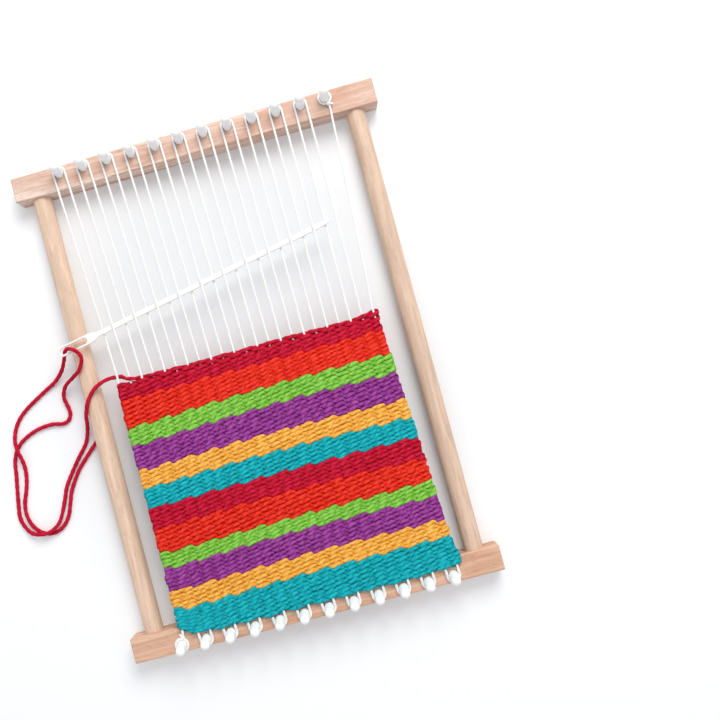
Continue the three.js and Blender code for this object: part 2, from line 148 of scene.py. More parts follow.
# Free yarn: the part from the cloth to the needle's eye, and the loose end from the eye, in metres
YARN_ROUTE = [
    (-0.1017, 0.0231, 0.0196), (-0.1135, 0.0241, 0.0198), (-0.1238, 0.0211, 0.0198),
    (-0.1297, 0.0167, 0.0197), (-0.1347, 0.0105, 0.0191), (-0.1382, 0.0041, 0.0169),
    (-0.1405, -0.0006, 0.0137), (-0.1422, -0.0050, 0.0094), (-0.1452, -0.0122, 0.0046),
    (-0.1497, -0.0204, 0.0019), (-0.1602, -0.0325, 0.0018), (-0.1740, -0.0509, 0.0018),
    (-0.1783, -0.0608, 0.0018), (-0.1859, -0.0764, 0.0042), (-0.1909, -0.0808, 0.0056),
    (-0.1974, -0.0830, 0.0059), (-0.2047, -0.0824, 0.0056), (-0.2110, -0.0797, 0.0036),
    (-0.2156, -0.0739, 0.0018), (-0.2178, -0.0658, 0.0018), (-0.2167, -0.0557, 0.0018),
    (-0.2123, -0.0318, 0.0018), (-0.2097, -0.0180, 0.0018), (-0.2028, -0.0075, 0.0018),
    (-0.1874, 0.0002, 0.0018), (-0.1723, 0.0017, 0.0018), (-0.1640, 0.0000, 0.0018),
    (-0.1595, 0.0010, 0.0018), (-0.1565, 0.0044, 0.0018), (-0.1558, 0.0088, 0.0018),
    (-0.1568, 0.0146, 0.0018), (-0.1572, 0.0209, 0.0032), (-0.1527, 0.0283, 0.0072),
    (-0.1428, 0.0333, 0.0138), (-0.1348, 0.0374, 0.0193), (-0.1296, 0.0456, 0.0230),
    (-0.1312, 0.0510, 0.0250), (-0.1350, 0.0542, 0.0256), (-0.1379, 0.0552, 0.0247),
    (-0.1400, 0.0554, 0.0233),
]
TAIL_ROUTE = [
    (-0.1408, 0.0549, 0.0218), (-0.1418, 0.0544, 0.0202), (-0.1434, 0.0527, 0.0178),
    (-0.1467, 0.0482, 0.0130), (-0.1526, 0.0412, 0.0074), (-0.1611, 0.0347, 0.0034),
    (-0.1717, 0.0295, 0.0018), (-0.1807, 0.0246, 0.0018), (-0.1898, 0.0193, 0.0018),
    (-0.1972, 0.0134, 0.0018), (-0.2024, 0.0063, 0.0022), (-0.2048, -0.0010, 0.0039),
    (-0.2050, -0.0067, 0.0056), (-0.2045, -0.0130, 0.0057), (-0.2036, -0.0198, 0.0039),
    (-0.2035, -0.0278, 0.0021), (-0.2048, -0.0368, 0.0018), (-0.2077, -0.0462, 0.0018),
    (-0.2109, -0.0546, 0.0018), (-0.2120, -0.0636, 0.0018), (-0.2101, -0.0726, 0.0018),
    (-0.2054, -0.0796, 0.0018), (-0.1988, -0.0837, 0.0018), (-0.1912, -0.0841, 0.0018),
    (-0.1843, -0.0808, 0.0018), (-0.1786, -0.0741, 0.0018), (-0.1747, -0.0649, 0.0018),
    (-0.1711, -0.0555, 0.0018), (-0.1654, -0.0464, 0.0018), (-0.1596, -0.0388, 0.0018),
    (-0.1527, -0.0321, 0.0018), (-0.1456, -0.0256, 0.0018), (-0.1383, -0.0194, 0.0018),
    (-0.1367, -0.0182, 0.0018),
]


# Camera, light and floor


def build_camera():
    turn = Vector(VIEW_TURN)
    to_camera = Matrix.Rotation(turn.length, 3, turn.normalized())
    data = bpy.data.cameras.new("camera")
    data.lens = VIEW_LENS
    data.shift_x, data.shift_y = VIEW_SHIFT
    data.clip_start, data.clip_end = VIEW_CLIP
    camera = bpy.data.objects.new("camera", data)
    camera.matrix_world = Matrix.Translation(Vector(VIEW_PLACE) * MM) @ to_camera.transposed().to_4x4()
    bpy.context.scene.collection.objects.link(camera)
    bpy.context.scene.camera = camera


def build_light():
    world = bpy.data.worlds.new("studio")
    bpy.context.scene.world = world
    world.use_nodes = True
    sky = world.node_tree.nodes["Background"]
    sky.inputs["Color"].default_value = SKY_COLOUR
    sky.inputs["Strength"].default_value = SKY_STRENGTH
    data = bpy.data.lights.new("key", "AREA")
    data.shape = "DISK"
    data.size = KEY_SIZE
    data.energy = KEY_POWER
    data.color = KEY_COLOUR
    lamp = bpy.data.objects.new("key", data)
    lamp.location = KEY_PLACE
    lamp.rotation_euler = (-Vector(KEY_PLACE)).to_track_quat("-Z", "Y").to_euler()
    bpy.context.scene.collection.objects.link(lamp)


def floor_material():
    """Matt and pale. The open floor glows as good as white; round the loom it keeps its tone and the shadows."""
    material = bpy.data.materials.new("floor")
    material.use_nodes = True
    tree = material.node_tree
    matt = tree.nodes["Principled BSDF"]
    matt.inputs["Base Color"].default_value = FLOOR_COLOUR
    matt.inputs["Roughness"].default_value = FLOOR_ROUGHNESS
    path = tree.nodes.new("ShaderNodeLightPath")
    glow = tree.nodes.new("ShaderNodeEmission")
    glow.inputs["Color"].default_value = (1, 1, 1, 1)
    amount = tree.nodes.new("ShaderNodeMath")
    amount.operation = "MULTIPLY"
    place = tree.nodes.new("ShaderNodeTexCoord")
    shrink = tree.nodes.new("ShaderNodeMapping")
    shrink.inputs["Scale"].default_value = (1 / WHITE_FROM[0], 1 / WHITE_FROM[1], 1)
    reach = tree.nodes.new("ShaderNodeVectorMath")
    reach.operation = "LENGTH"
    spread = tree.nodes.new("ShaderNodeMapRange")
    spread.interpolation_type = "SMOOTHSTEP"
    spread.inputs["From Min"].default_value = WHITE_STARTS
    spread.inputs["From Max"].default_value = WHITE_IS_FULL
    spread.inputs["To Max"].default_value = WHITE_GLOW
    both = tree.nodes.new("ShaderNodeAddShader")
    for source, socket in (
        (place.outputs["Object"], shrink.inputs["Vector"]),
        (shrink.outputs["Vector"], reach.inputs[0]),
        (reach.outputs["Value"], spread.inputs["Value"]),
        (spread.outputs["Result"], amount.inputs[1]),
        (path.outputs["Is Camera Ray"], amount.inputs[0]),
        (amount.outputs[0], glow.inputs["Strength"]),
        (matt.outputs[0], both.inputs[0]),
        (glow.outputs[0], both.inputs[1]),
        (both.outputs[0], tree.nodes["Material Output"].inputs["Surface"]),
    ):
        tree.links.new(source, socket)
    return material


def build_stage():
    bpy.context.scene.view_settings.view_transform = "Standard"
    build_light()
    half = FLOOR_HALF
    mesh = bpy.data.meshes.new("floor")
    mesh.from_pydata([(-half, -half, 0), (half, -half, 0), (half, half, 0), (-half, half, 0)], [], [(0, 1, 2, 3)])
    mesh.materials.append(floor_material())
    floor = bpy.data.objects.new("floor", mesh)
    bpy.context.scene.collection.objects.link(floor)


# Materials


def linear(code):
    values = [int(code[k : k + 2], 16) / 255 for k in (0, 2, 4)]
    return tuple(v / 12.92 if v <= 0.04045 else ((v + 0.055) / 1.055) ** 2.4 for v in values) + (1.0,)


def scaled(colour, factor):
    return tuple(min(1.0, max(0.0, v * factor)) for v in colour[:3]) + (1.0,)


class Shader:
    """A material's node tree, with short names for the nodes used here."""

    def __init__(self, name, roughness, specular):
        self.material = bpy.data.materials.new(name)
        self.material.use_nodes = True
        self.tree = self.material.node_tree
        self.bsdf = self.tree.nodes["Principled BSDF"]
        self.bsdf.inputs["Roughness"].default_value = roughness
        self.bsdf.inputs["Specular IOR Level"].default_value = specular

    def link(self, value, socket):
        if isinstance(value, (int, float, tuple)):
            socket.default_value = value
        else:
            self.tree.links.new(value, socket)

    def coordinates(self, scale):
        return self.stretched(self.tree.nodes.new("ShaderNodeTexCoord").outputs["Object"], scale)

    def stretched(self, vector, scale):
        mapping = self.tree.nodes.new("ShaderNodeMapping")
        mapping.inputs["Scale"].default_value = scale
        self.tree.links.new(vector, mapping.inputs["Vector"])
        return mapping.outputs["Vector"]

    def attribute(self, name):
        node = self.tree.nodes.new("ShaderNodeAttribute")
        node.attribute_name = name
        return node

    def noise(self, vector, scale, detail=4.0, roughness=0.55, distortion=0.0):
        node = self.tree.nodes.new("ShaderNodeTexNoise")
        self.tree.links.new(vector, node.inputs["Vector"])
        node.inputs["Scale"].default_value = scale
        node.inputs["Detail"].default_value = detail
        node.inputs["Roughness"].default_value = roughness
        node.inputs["Distortion"].default_value = distortion
        return node.outputs["Fac"]

    def ramp(self, value, stops, interpolation="LINEAR"):
        node = self.tree.nodes.new("ShaderNodeValToRGB")
        node.color_ramp.interpolation = interpolation
        while len(node.color_ramp.elements) < len(stops):
            node.color_ramp.elements.new(0.5)
        for element, (place, colour) in zip(node.color_ramp.elements, stops):
            element.position = place
            element.color = colour if isinstance(colour, tuple) else (colour, colour, colour, 1)
        self.tree.links.new(value, node.inputs["Fac"])
        return node.outputs["Color"]

    def mix(self, factor, a, b, kind="MIX"):
        node = self.tree.nodes.new("ShaderNodeMix")
        node.data_type = "RGBA"
        node.blend_type = kind
        self.link(factor, node.inputs["Factor"])
        self.link(a, node.inputs["A"])
        self.link(b, node.inputs["B"])
        return node.outputs["Result"]

    def math(self, operation, a, b=0.0):
        node = self.tree.nodes.new("ShaderNodeMath")
        node.operation = operation
        self.link(a, node.inputs[0])
        self.link(b, node.inputs[1])
        return node.outputs[0]

    def bump(self, height, distance, strength=1.0):
        node = self.tree.nodes.new("ShaderNodeBump")
        node.inputs["Distance"].default_value = distance
        node.inputs["Strength"].default_value = strength
        self.tree.links.new(height, node.inputs["Height"])
        self.tree.links.new(node.outputs["Normal"], self.bsdf.inputs["Normal"])

    def finish(self, colour, roughness=None):
        self.link(colour, self.bsdf.inputs["Base Color"])
        if roughness is not None:
            self.link(roughness, self.bsdf.inputs["Roughness"])
        return self.material


def wood_material(name, light, dark, along, seed, flecks):
    """Straight-grained wood. along is the axis of the grain, 0 for X and 1 for Y; flecks is how dark they are."""
    made = Shader(name, 0.55, specular=0.35)
    stretch = [1.0, 1.0, 1.0]
    stretch[along] = 0.07
    offset = made.coordinates(tuple(stretch))
    shift = made.tree.nodes.new("ShaderNodeVectorMath")
    shift.operation = "ADD"
    made.tree.links.new(offset, shift.inputs[0])
    shift.inputs[1].default_value = (seed, seed * 0.7, seed * 1.3)
    place = shift.outputs[0]
    broad = made.noise(place, 55, 3, 0.5, 0.4)
    fine = made.noise(place, 420, 4, 0.6, 0.2)
    stretch[along] = 0.16
    fleck = made.noise(made.coordinates(tuple(stretch)), 900, 2, 0.5)
    cloud = made.noise(made.coordinates((1, 1, 1)), 26, 3, 0.5)
    colour = made.mix(made.ramp(broad, [(0.36, 0.0), (0.64, 1.0)]), dark, light)
    colour = made.mix(made.ramp(fine, [(0.36, 0.75), (0.55, 0.0)]), colour, scaled(dark, 0.9))
    colour = made.mix(made.ramp(fine, [(0.55, 0.0), (0.7, 0.6)]), colour, scaled(light, 1.12))
    colour = made.mix(made.ramp(fleck, [(0.58, 0.0), (0.7, flecks)]), colour, scaled(dark, 0.62))
    colour = made.mix(made.ramp(cloud, [(0.35, 0.0), (0.7, 0.32)]), colour, scaled(light, 1.06))
    made.bump(made.math("ADD", fine, fleck), 0.00012, 0.6)
    rough = made.ramp(fine, [(0.3, 0.62), (0.7, 0.48)])
    return made.finish(colour, rough)


def plastic_material(name, colour, roughness, specular, shade):
    """Moulded plastic, faintly cloudy. shade is the tone of its darker clouds."""
    made = Shader(name, roughness, specular=specular)
    place = made.coordinates((1, 1, 1))
    cloud = made.noise(place, 70, 3)
    orange_peel = made.noise(place, 1500, 2)
    scratch = made.noise(made.coordinates((1, 1, 0.15)), 2600, 2)
    tone = made.mix(made.ramp(cloud, [(0.35, 0.0), (0.68, 1.0)]), scaled(colour, shade), colour)
    made.bump(made.math("ADD", orange_peel, scratch), 0.00004, 0.5)
    rough = made.ramp(scratch, [(0.3, roughness - 0.06), (0.75, roughness + 0.1)])
    return made.finish(tone, rough)


def deepened(colour):
    """A yarn's colour made darker and stronger: painted shade down in its grooves, between its plies and in the
    cloth's inside, and its darker fibres and patches.
    """
    return tuple(0.7 * v**1.4 for v in colour[:3]) + (1.0,)


def brightened(colour):
    """A yarn's colour made lighter and paler: the painted highlight along its crown, and its lighter fibres."""
    return tuple(min(1.0, 1.12 * v**0.76) for v in colour[:3]) + (1.0,)


def yarn_material(name, colour, lit=0.8, shaded=0.75):
    """Twisted fibre, with painted shade in its grooves and a painted highlight along its crown. The mesh carries
    fibre, a place in the twisted yarn, ply, its lobes' height, which sets the painted shade between the plies, and
    crown, how far out of the grooves a place lies, which sets the painted shade and highlight."""
    made = Shader(name, 0.75, specular=0.1)
    fibre = made.attribute("fibre").outputs["Vector"]
    ply = made.attribute("ply").outputs["Fac"]
    crown = made.attribute("crown").outputs["Fac"]
    streak = made.noise(fibre, 1.0, 4, 0.65, 0.3)
    patch = made.noise(made.coordinates((1, 1, 1)), 140, 3)
    tuft = made.noise(made.stretched(fibre, (2.6, 0.32, 0.32)), 1.0, 2, 0.5, 0.5)
    deep, bright = deepened(colour), brightened(colour)
    # Painted shade down in the grooves and painted highlight along the crown
    tone = made.mix(made.ramp(crown, [(0.25, shaded), (0.62, 0.0)]), colour, deep)
    tone = made.mix(made.ramp(crown, [(0.6, 0.0), (1.0, lit)]), tone, bright)
    # Painted shade in the grooves between the plies
    tone = made.mix(made.ramp(ply, [(0.0, 0.75), (0.45, 0.0)]), tone, deep)
    tone = made.mix(made.ramp(tuft, [(0.3, 0.5), (0.46, 0.0)]), tone, deep)
    tone = made.mix(made.ramp(tuft, [(0.54, 0.0), (0.72, 0.75)]), tone, bright)
    tone = made.mix(made.ramp(streak, [(0.36, 0.5), (0.5, 0.0)]), tone, deep)
    tone = made.mix(made.ramp(streak, [(0.54, 0.0), (0.74, 0.5)]), tone, bright)
    tone = made.mix(made.ramp(patch, [(0.35, 0.0), (0.7, 0.2)]), tone, deep)
    made.bump(streak, 0.0002, 0.7)
    return made.finish(tone)


# Meshes

# Of each kind of cord: sides of its rings, plies, length of one turn in millimetres, and depth of the grooves
COTTON_MAKE = (10, 3, 5.4, 0.16)
WOVEN_MAKE = (14, 2, 15.0, 0.2)
FREE_YARN_MAKE = (16, 4, 22.0, 0.16)


def add_mesh(name, points, faces, material, smooth=True, attributes=None):
    mesh = bpy.data.meshes.new(name)
    points = np.asarray(points, float)
    faces = np.asarray(faces)
    mesh.vertices.add(len(points))
    mesh.vertices.foreach_set("co", points.ravel())
    sides = faces.shape[1]
    mesh.loops.add(faces.size)
    mesh.loops.foreach_set("vertex_index", faces.ravel())
    mesh.polygons.add(len(faces))
    mesh.polygons.foreach_set("loop_start", np.arange(0, faces.size, sides))
    mesh.update(calc_edges=True)
    mesh.validate()
    if smooth:
        mesh.shade_smooth()
    for key, (kind, values) in (attributes or {}).items():
        layer = mesh.attributes.new(key, kind, "POINT")
        layer.data.foreach_set("vector" if kind == "FLOAT_VECTOR" else "value", np.asarray(values, float).ravel())
    mesh.materials.append(material)
    thing = bpy.data.objects.new(name, mesh)
    bpy.context.scene.collection.objects.link(thing)
    return thing


def spline(points, step):
    """Centripetal curve through points, sampled about step apart."""
    points = np.asarray(points, float)
    ends = np.vstack([2 * points[0] - points[1], points, 2 * points[-1] - points[-2]])
    fine = []
    for i in range(1, len(ends) - 2):
        p0, p1, p2, p3 = ends[i - 1 : i + 3]
        t0 = 0.0
        t1 = t0 + np.linalg.norm(p1 - p0) ** 0.5
        t2 = t1 + np.linalg.norm(p2 - p1) ** 0.5
        t3 = t2 + np.linalg.norm(p3 - p2) ** 0.5
        for t in np.linspace(t1, t2, 24, endpoint=False):
            a1 = (t1 - t) / (t1 - t0) * p0 + (t - t0) / (t1 - t0) * p1
            a2 = (t2 - t) / (t2 - t1) * p1 + (t - t1) / (t2 - t1) * p2
            a3 = (t3 - t) / (t3 - t2) * p2 + (t - t2) / (t3 - t2) * p3
            b1 = (t2 - t) / (t2 - t0) * a1 + (t - t0) / (t2 - t0) * a2
            b2 = (t3 - t) / (t3 - t1) * a2 + (t - t1) / (t3 - t1) * a3
            fine.append((t2 - t) / (t2 - t1) * b1 + (t - t1) / (t2 - t1) * b2)
    fine.append(ends[-2])
    return respaced(np.array(fine), step)


def respaced(points, step):
    gone = np.concatenate([[0], np.cumsum(np.linalg.norm(np.diff(points, axis=0), axis=1))])
    count = max(2, int(round(gone[-1] / step)) + 1)
    at = np.linspace(0, gone[-1], count)
    return np.stack([np.interp(at, gone, points[:, k]) for k in range(3)], axis=1)


def frames(points):
    """Side and over at each point, carried along without turning."""
    tangent = np.gradient(points, axis=0)
    tangent /= np.linalg.norm(tangent, axis=1)[:, None]
    side = np.zeros_like(points)
    current = np.array((0.0, 0.0, 1.0))
    if abs(tangent[0] @ current) > 0.9:
        current = np.array((1.0, 0.0, 0.0))
    for i, t in enumerate(tangent):
        current = current - (current @ t) * t
        current = current / np.linalg.norm(current)
        side[i] = current
    return side, np.cross(tangent, side)


def tube_faces(rings, sides):
    """Faces between rings of points, with both ends closed."""
    ring = np.arange(rings - 1)[:, None] * sides
    side = np.arange(sides)[None, :]
    after = (side + 1) % sides
    wall = np.stack([ring + side, ring + after, ring + after + sides, ring + side + sides], axis=2)
    return np.vstack([wall.reshape(-1, 4), cap_faces(sides, 0, True), cap_faces(sides, (rings - 1) * sides, False)])


def cap_faces(sides, offset, start):
    """A fan of quads over a ring of an even number of sides."""
    faces = []
    for i in range(1, sides // 2):
        quad = [i - 1, i, sides - i - 1, sides - i]
        faces.append([v + offset for v in (quad[::-1] if start else quad)])
    return np.array(faces)


def twisted_tube(points, half_side, half_over, make, side, over, phase, coarse):
    """Rings round points, with lobes of the plies that turn along it. coarse stretches the fibres' tones."""
    sides, plies, twist, depth = make
    gone = np.concatenate([[0], np.cumsum(np.linalg.norm(np.diff(points, axis=0), axis=1))])
    angle = np.linspace(0, 2 * math.pi, sides, endpoint=False)[None, :]
    turned = angle + (2 * math.pi / twist) * gone[:, None] + phase
    lobe = np.cos(plies * turned)
    factor = 1 - depth * (1 - lobe) / 2
    x = (half_side[:, None] * np.cos(angle) * factor)[:, :, None]
    y = (half_over[:, None] * np.sin(angle) * factor)[:, :, None]
    rings = points[:, None, :] + x * side[:, None, :] + y * over[:, None, :]
    along = np.broadcast_to(gone[:, None], lobe.shape)
    fibre = np.stack([along * 0.18 * coarse, np.cos(turned) * 2.6, np.sin(turned) * 2.6], axis=2)
    looks = {
        "ply": ("FLOAT", (lobe * 0.5 + 0.5).ravel()),
        "fibre": ("FLOAT_VECTOR", fibre.reshape(-1, 3)),
        "crown": ("FLOAT", np.full(lobe.size, 0.86)),
    }
    return rings.reshape(-1, 3), tube_faces(len(points), sides), looks


# Where the strands run

TIE_STEPS = 40
WRAP_STEPS = 20


def peg_x(index):
    return (index - (PEG_COUNT - 1) / 2) * PEG_PITCH


def strand_top(strand):
    if strand == STRANDS:
        return tie_points(PEG_COUNT - 1, 1)[0][:2]
    side = -1 if strand % 2 == 1 else 1
    return np.array([peg_x((strand - 1) // 2) + side * WRAP_RADIUS, WRAP_Y])


def strand_bottom(strand):
    if strand == 1:
        return FIRST_STRAND_LOW
    return peg_x(strand // 2) + (WRAP_RADIUS if strand % 2 == 1 else -WRAP_RADIUS)


def strand_at_cloth_top(strand):
    return CLOTH_LEFT + (strand - 1) * (CLOTH_RIGHT - CLOTH_LEFT) / (STRANDS - 1)


def strand_x(strand, y):
    share = (CLOTH_TOP - y) / (CLOTH_TOP + WRAP_Y)
    return strand_at_cloth_top(strand) + share * (strand_bottom(strand) - strand_at_cloth_top(strand))


def place_x(place, y):
    """X of a place counted in strands, at y. Both may be arrays."""
    low = np.clip(np.floor(place), 1, STRANDS - 1)
    top = CLOTH_LEFT + (place - 1) * (CLOTH_RIGHT - CLOTH_LEFT) / (STRANDS - 1)
    bottoms = np.array([strand_bottom(s) for s in range(1, STRANDS + 1)])
    index = low.astype(int) - 1
    bottom = bottoms[index] + (place - low) * (bottoms[index + 1] - bottoms[index])
    share = (CLOTH_TOP - y) / (CLOTH_TOP + WRAP_Y)
    return top + share * (bottom - top)


def wrap_point(peg, side, angle):
    x = peg_x(peg) + WRAP_RADIUS * math.cos(angle)
    y = side * WRAP_Y + WRAP_RADIUS / math.cos(PEG_TILT) * math.sin(angle)
    return np.array([x, y, WRAP_Z])


def knot_angle(side):
    return -side * (math.pi / 2 - TIE_LEAN)


def tie_points(peg, side):
    turns = [TIE_OPEN / 2 + step / TIE_STEPS * (2 * math.pi - TIE_OPEN) for step in range(TIE_STEPS + 1)]
    return [wrap_point(peg, side, knot_angle(side) + turned) for turned in turns]


def half_wrap(peg, side):
    return [wrap_point(peg, side, side * math.pi * (1 - step / WRAP_STEPS)) for step in range(WRAP_STEPS + 1)]


def needle_crossing(strand):
    """Where the needle's middle line meets a strand, whether the needle reaches it, and the strand's way."""
    low = np.array([strand_at_cloth_top(strand), CLOTH_TOP])
    run = strand_top(strand) - low
    apart = EYE_END - low
    turn = run[0] * NEEDLE_WAY[1] - run[1] * NEEDLE_WAY[0]
    point = low + run * (apart[0] * NEEDLE_WAY[1] - apart[1] * NEEDLE_WAY[0]) / turn
    met = (point - EYE_END) @ NEEDLE_WAY < NEEDLE_LENGTH
    return point, met, run / np.linalg.norm(run)


# Beams, dowels and pegs

DOWEL_CHAMFER = 0.8
DOWEL_RINGS = 40
DOWEL_SIDES = 64
PEG_CHAMFER = 0.5
PEG_SIDES = 40
TIP_STEPS = 10


def build_wood():
    for node, (light, dark, seed) in BEAM_WOODS.items():
        beech = wood_material("beech_" + node, linear(light), linear(dark), 0, seed, 0.6)
        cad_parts[node].data.materials.clear()
        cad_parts[node].data.materials.append(beech)
    inner = DOWEL_END - DOWEL_CHAMFER
    ys = np.concatenate([[-DOWEL_END], np.linspace(-inner, inner, DOWEL_RINGS), [DOWEL_END]])
    radii = np.full(len(ys), DOWEL_RADIUS)
    radii[0] = radii[-1] = DOWEL_RADIUS - DOWEL_CHAMFER
    angles = np.linspace(0, 2 * math.pi, DOWEL_SIDES, endpoint=False)
    faces = tube_faces(len(ys), DOWEL_SIDES)[:, ::-1]
    for node, (x, light, seed) in DOWEL_WOODS.items():
        wood = wood_material(node + "_wood", linear(light), scaled(linear(light), DOWEL_DARK), 1, seed, 0.35)
        points = [(x + r * math.cos(a), y, DOWEL_Z + r * math.sin(a)) for y, r in zip(ys, radii) for a in angles]
        dowel = add_mesh(node + "_turned", np.array(points) * MM, faces, wood)
        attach(dowel, "loom")
        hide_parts(node)


def peg_profile():
    """Radius and height of each ring, from the sunk end to the round tip."""
    profile = [(PEG_RADIUS - PEG_CHAMFER, -PEG_SUNK), (PEG_RADIUS, -PEG_SUNK + PEG_CHAMFER)]
    profile += [(PEG_RADIUS, h) for h in (-2.0, 0.0, 3.0, 6.0, 9.0, 11.5)]
    for step in range(TIP_STEPS):
        angle = step / TIP_STEPS * math.pi / 2
        profile.append((PEG_RADIUS * math.cos(angle), PEG_SHOWN - PEG_RADIUS + PEG_RADIUS * math.sin(angle)))
    profile.append((0.25, PEG_SHOWN - 0.01))
    return profile


def build_pegs():
    plastic = plastic_material("white_plastic", linear(PEG_COLOUR), 0.45, 0.4, 0.985)
    profile = peg_profile()
    angles = np.linspace(0, 2 * math.pi, PEG_SIDES, endpoint=False)
    ring = np.array([[(r * math.cos(a), r * math.sin(a), h) for a in angles] for r, h in profile])
    faces = tube_faces(len(profile), PEG_SIDES)
    for row, side in (("top", 1), ("bottom", -1)):
        for index in range(PEG_COUNT):
            lean = Matrix.Rotation(-side * PEG_TILT, 3, "X")
            points = ring.reshape(-1, 3) @ np.array(lean).T + np.array([peg_x(index), side * PEG_Y, BEAM_THICK])
            name = f"{row}_peg_{index + 1:02d}"
            peg = add_mesh(name + "_moulded", points * MM, faces, plastic)
            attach(peg, "loom")
            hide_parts(name)


# Warp

CROSSING_HALF = 2.2
# Shares of its radius that the cord loses within the cloth and gains at the lower pegs
PRESSED = 0.22
FILLED = 0.35
# From this Y on upwards, in millimetres, it isn't pressed
PRESSED_TOP = 12.5
KNOT_SIZE = 0.42
KNOT_STEPS = 25
KNOT_TURN = 0.94


def warp_path():
    """The cord's whole way. Within the cloth it needs few points."""
    path = list(tie_points(0, -1))
    for strand in range(1, STRANDS + 1):
        upward = strand % 2 == 1
        low = CLOTH_BOTTOM - 0.3 + (CORNER_RISE if strand == 1 else 0)
        run = [np.array([strand_x(strand, y), y, CLOTH_Z]) for y in np.linspace(low, CLOTH_TOP + 0.4, 6)]
        point, met, way = needle_crossing(strand)
        top = strand_top(strand)
        start = run[-1]
        end = np.array([top[0], top[1], WRAP_Z])
        if met:
            lift = -NEEDLE_LIFT if upward else NEEDLE_LIFT
            a = np.array([*(point - way * CROSSING_HALF), NEEDLE_Z + lift])
            b = np.array([*(point + way * CROSSING_HALF), NEEDLE_Z + lift])
            run += [start + (a - start) * t for t in (0.25, 0.5, 0.75, 0.93)] + [a, b]
            run += [b + (end - b) * t for t in (0.04, 0.25, 0.5, 0.75, 0.9, 0.97)]
        else:
            run += [start + (end - start) * t for t in (0.15, 0.3, 0.5, 0.7, 0.85, 0.96)]
        path += run if upward else run[::-1]
        peg = (strand - 1) // 2 if upward else strand // 2
        if strand < STRANDS:
            path += half_wrap(peg, 1 if upward else -1)
    path += tie_points(PEG_COUNT - 1, 1)
    kept = [path[0]]
    for point in path[1:]:
        if np.linalg.norm(point - kept[-1]) > 0.2:
            kept.append(point)
    return np.array(kept)


def cotton_tube(name, path, radius, cotton):
    points, faces, looks = twisted_tube(path, radius, radius, COTTON_MAKE, *frames(path), 0.0, 4.0)
    return add_mesh(name, points * MM, faces, cotton, attributes=looks)


def build_warp():
    cotton = yarn_material("warp_cotton", linear(WARP_COLOUR), 0.3, 0.3)
    path = spline(warp_path(), 0.6)
    hidden = (path[:, 1] < CLOTH_TOP - 6) & (path[:, 1] > CLOTH_BOTTOM + 8)
    keep = ~hidden | (np.arange(len(path)) % 6 == 0)
    path = path[keep]
    # The cord is pressed thin within the cloth and fills out below it, where it turns round the pegs
    foot = np.where(path[:, 0] < CLOTH_LEFT + 3, CLOTH_BOTTOM + CORNER_RISE, CLOTH_BOTTOM)
    pressed = np.clip((path[:, 1] - foot) / 1.5, 0, 1) * np.clip((PRESSED_TOP - path[:, 1]) / 2, 0, 1)
    filled = np.clip((foot - 0.5 - path[:, 1]) / 2, 0, 1)
    radius = WARP_RADIUS * (1 - PRESSED * pressed + FILLED * filled)
    warp = cotton_tube("warp_twisted", path, radius, cotton)
    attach(warp, "loom")
    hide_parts("warp_cord")
    for name, peg, row in (("first_knot", 0, -1), ("last_knot", PEG_COUNT - 1, 1)):
        knot = build_knot(name, peg, row, cotton)
        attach(knot, "loom")


def build_knot(name, peg, row, cotton):
    """A small overhand knot with a cut end, where the cord is tied."""
    angle = knot_angle(row)
    centre = np.array(
        [peg_x(peg) + KNOT_REACH * math.cos(angle), row * WRAP_Y + KNOT_REACH * math.sin(angle), BEAM_THICK + 2.0]
    )
    out = np.array([math.cos(angle), math.sin(angle), 0.0])
    across = np.array([-math.sin(angle), math.cos(angle), 0.0])
    up = np.array([0.0, 0.0, 1.0])
    route = []
    for step in range(KNOT_STEPS + 1):
        t = step / KNOT_STEPS * 2 * math.pi * KNOT_TURN
        x = (math.sin(t) + 2 * math.sin(2 * t)) * KNOT_SIZE
        y = (math.cos(t) - 2 * math.cos(2 * t)) * KNOT_SIZE
        z = -math.sin(3 * t) * KNOT_SIZE
        route.append(centre + across * x + out * y + up * z)
    tail = route[-1] + across * 1.6 + out * 1.2 + up * 0.2
    route += [route[-1] + (tail - route[-1]) * 0.5, tail, tail + across * 1.8 + out * 1.4 - up * 0.5]
    path = spline(np.array(route), 0.35)
    path[:, 2] = np.maximum(path[:, 2], BEAM_THICK + 1.0)
    radius = np.full(len(path), WARP_RADIUS * 0.95)
    radius[-2:] *= 0.85
    return cotton_tube(name, path, radius, cotton)


# Cloth: rows of yarn that pass over and under the strands and turn back at the edges

# Rise of the yarn's centre over a strand, and half its height there and between two strands
BEAD_RISE = 1.22
BEAD_HEIGHT = 0.88
GAP_HEIGHT = 1.55
# How square the yarn's wave is, and how far a row slants from strand to strand
WAVE_SQUARENESS = 2.0
SLANT = 0.4
# Reach of a turn past the edge strand, its chance share, and what is added at the first row and lower right
TURN_REACH = 1.7
TURN_CHANCE = (-0.5, 1.0)
FIRST_TURN_MORE = 0.9
LOW_RIGHT_TURN_MORE = 2.0
# Y of the last-woven rows, which lie loose. The very last one rises at its left end.
FIRST_ROWS = [18.9, 16.8, 14.75, 12.8]
LOOSE_ROWS = 3.0
LOOSE_HALF_WIDTH = 1.72
FIRST_ROW_RISE = 3.9
FIRST_ROW_FADE = 1.1
# The woven end of the yarn from the needle: its way, and half its width and height
LEAD = [(-103.9, 22.9, 19.9), (-102.2, 22.4, 20.2), (-100.6, 21.5, 21.2)]
LEAD_HALF_WIDTH = (1.5, 1.6, 1.6)
LEAD_HALF_HEIGHT = (1.2, 1.25, 1.2)
LEAD_COVERS = 7
# The inside of the cloth
CORE_HALF = 1.05
CORE_LINES = 80
CORE_MARGIN = 0.2
# A row's ends rise over this length
CORNER_REACH = 7.0

# The cloth was woven by hand, so its rows bend: they sag toward the lower beam, lean and arch.
# Lean and arch come in over the first part of the cloth, and all three go out over its last stripe.
SAG_TOP = 1.2
SAG_LOW = 2.5
LEAN = 1.3
ARCH = 2.5
BENDS_COME_IN = 36.0
# Each edge between two stripes also has a bend by chance, this large in sag, lean and arch
CHANCE_SEED = 7
CHANCE_BENDS = (0.35, 0.6, 0.7)
